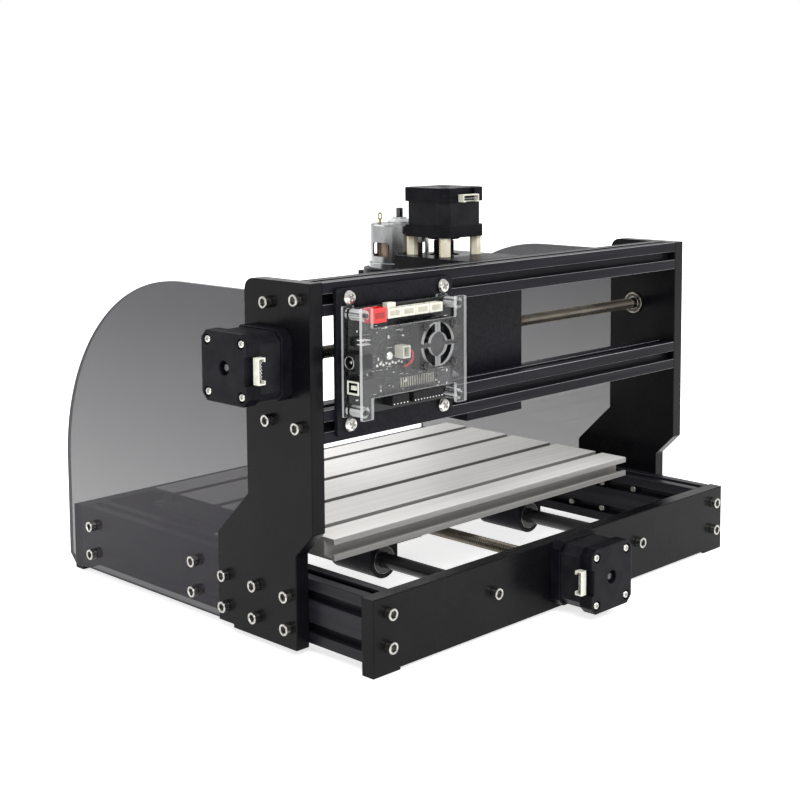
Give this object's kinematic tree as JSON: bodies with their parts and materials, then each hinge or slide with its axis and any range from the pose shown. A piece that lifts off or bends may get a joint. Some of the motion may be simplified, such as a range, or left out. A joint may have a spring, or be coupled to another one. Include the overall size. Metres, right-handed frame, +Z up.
{
  "type": "cnc router",
  "caption": "Desktop three-axis router: moving T-slot table, fixed gantry with smoked side guards, lead screw drives, collet spindle and a clear-cased controller.",
  "frame": {"origin": "on the ground, at the centre of the rectangle made by the outer faces of the front and rear plates and the base width", "axes": "+Z up, +X towards the x motor, +Y towards the y motor and the controller, so the operator's side is -Y"},
  "size_m": [0.4146, 0.3466, 0.2722],
  "materials": {
    "phenolic_black": "glossy navy-black plate",
    "black_anodised": "black anodised extrusion",
    "table_aluminium": "fine brushed natural anodised extrusion",
    "chrome_rod": "hard chromed ground rod",
    "screw_steel": "rolled screw thread",
    "nut_brass": "turned brass",
    "bearing_steel": "ground bearing steel",
    "smoked_acrylic": "smoke-tinted clear acrylic sheet",
    "clear_acrylic": "clear acrylic, polished cut edges",
    "motor_black": "satin black paint",
    "stator_black": "satin black laminations",
    "nickel_screw": "bright nickel plate",
    "black_screw": "black oxide",
    "socket_white": "moulded nylon",
    "ivory_nylon": "turned nylon",
    "coupling_black": "black anodised",
    "moulded_black": "moulded satin black plastic",
    "can_steel": "zinc-plated steel can",
    "shaft_steel": "ground steel",
    "chuck_steel": "turned and ground steel",
    "board_black": "solder-masked board",
    "fan_black": "moulded black plastic",
    "terminal_brass": "stamped brass"
  },
  "bodies": {
    "frame": {"front_plate": "phenolic_black", "rear_plate": "phenolic_black", "left_rail": "black_anodised", "right_rail": "black_anodised", "left_y_rod": "chrome_rod", "right_y_rod": "chrome_rod", "left_gantry_plate": "phenolic_black", "right_gantry_plate": "phenolic_black", "lower_beam": "black_anodised", "upper_beam": "black_anodised", "x_rods": "chrome_rod", "left_side_panel": "smoked_acrylic", "right_side_panel": "smoked_acrylic", "x_motor_end_caps": "motor_black", "x_motor_stator": "stator_black", "y_motor_end_caps": "motor_black", "y_motor_stator": "stator_black", "motor_sockets": "socket_white", "screw_bearings": "bearing_steel", "frame_screws": "nickel_screw", "fan_screws": "black_screw", "spacers": "clear_acrylic", "controller_plate": "phenolic_black", "clear_case_plates": "clear_acrylic", "circuit_board": "board_black", "board_parts": "socket_white", "fan_frame": "fan_black"},
    "table": {"work_table": "table_aluminium", "table_bearing_holders": "moulded_black", "table_bearings": "bearing_steel", "y_nut_bracket": "moulded_black", "y_nut": "nut_brass"},
    "carriage": {"x_carriage": "moulded_black", "z_top_plate": "phenolic_black", "x_bearings": "bearing_steel", "x_nut": "nut_brass", "z_rods": "chrome_rod", "z_standoffs": "ivory_nylon", "z_motor_end_caps": "motor_black", "z_motor_stator": "stator_black", "z_motor_socket": "socket_white"},
    "spindle_slide": {"spindle_holder": "moulded_black", "clamp_screw": "black_screw", "z_bearings": "bearing_steel", "z_nut": "nut_brass", "spindle_motor": "can_steel", "spindle_terminals": "terminal_brass"},
    "spindle_rotor": {"spindle_shaft": "shaft_steel", "collet_holder": "chuck_steel", "collet_nut": "chuck_steel"},
    "x_drive": {"x_lead_screw": "screw_steel", "x_coupling": "coupling_black", "x_motor_shaft": "shaft_steel"},
    "y_drive": {"y_lead_screw": "screw_steel", "y_coupling": "coupling_black", "y_motor_shaft": "shaft_steel"},
    "z_drive": {"z_lead_screw": "screw_steel", "z_coupling": "coupling_black", "z_motor_shaft": "shaft_steel"},
    "fan": {"fan_rotor": "fan_black"}
  },
  "joints": [
    {"name": "table_slide", "type": "slide", "parent": "frame", "child": "table", "axis": [0, 1, 0], "range_m": [-0.078, 0.086]},
    {"name": "carriage_slide", "type": "slide", "parent": "frame", "child": "carriage", "axis": [1, 0, 0], "range_m": [-0.145, 0.147]},
    {"name": "spindle_lift", "type": "slide", "parent": "carriage", "child": "spindle_slide", "axis": [0, 0, 1], "range_m": [-0.042, 0]},
    {"name": "spindle_spin", "type": "hinge", "parent": "spindle_slide", "child": "spindle_rotor", "pos_m": [0, -0.0018, 0.2], "axis": [0, 0, 1], "continuous": true},
    {"name": "x_screw_turn", "type": "hinge", "parent": "frame", "child": "x_drive", "pos_m": [0, 0.075, 0.177], "axis": [1, 0, 0], "continuous": true},
    {"name": "y_screw_turn", "type": "hinge", "parent": "frame", "child": "y_drive", "pos_m": [0, 0, 0.0265], "axis": [0, 1, 0], "continuous": true},
    {"name": "z_screw_turn", "type": "hinge", "parent": "carriage", "child": "z_drive", "pos_m": [0, 0.0415, 0.2], "axis": [0, 0, 1], "continuous": true},
    {"name": "fan_spin", "type": "hinge", "parent": "frame", "child": "fan", "pos_m": [0.102, 0.127, 0.1833], "axis": [0, 1, 0], "continuous": true}
  ],
  "couplings": [
    {"joint": "x_screw_turn", "follows": "carriage_slide", "rad_per_m": -1570.8},
    {"joint": "y_screw_turn", "follows": "table_slide", "rad_per_m": -1570.8},
    {"joint": "z_screw_turn", "follows": "spindle_lift", "rad_per_m": -1570.8}
  ]
}
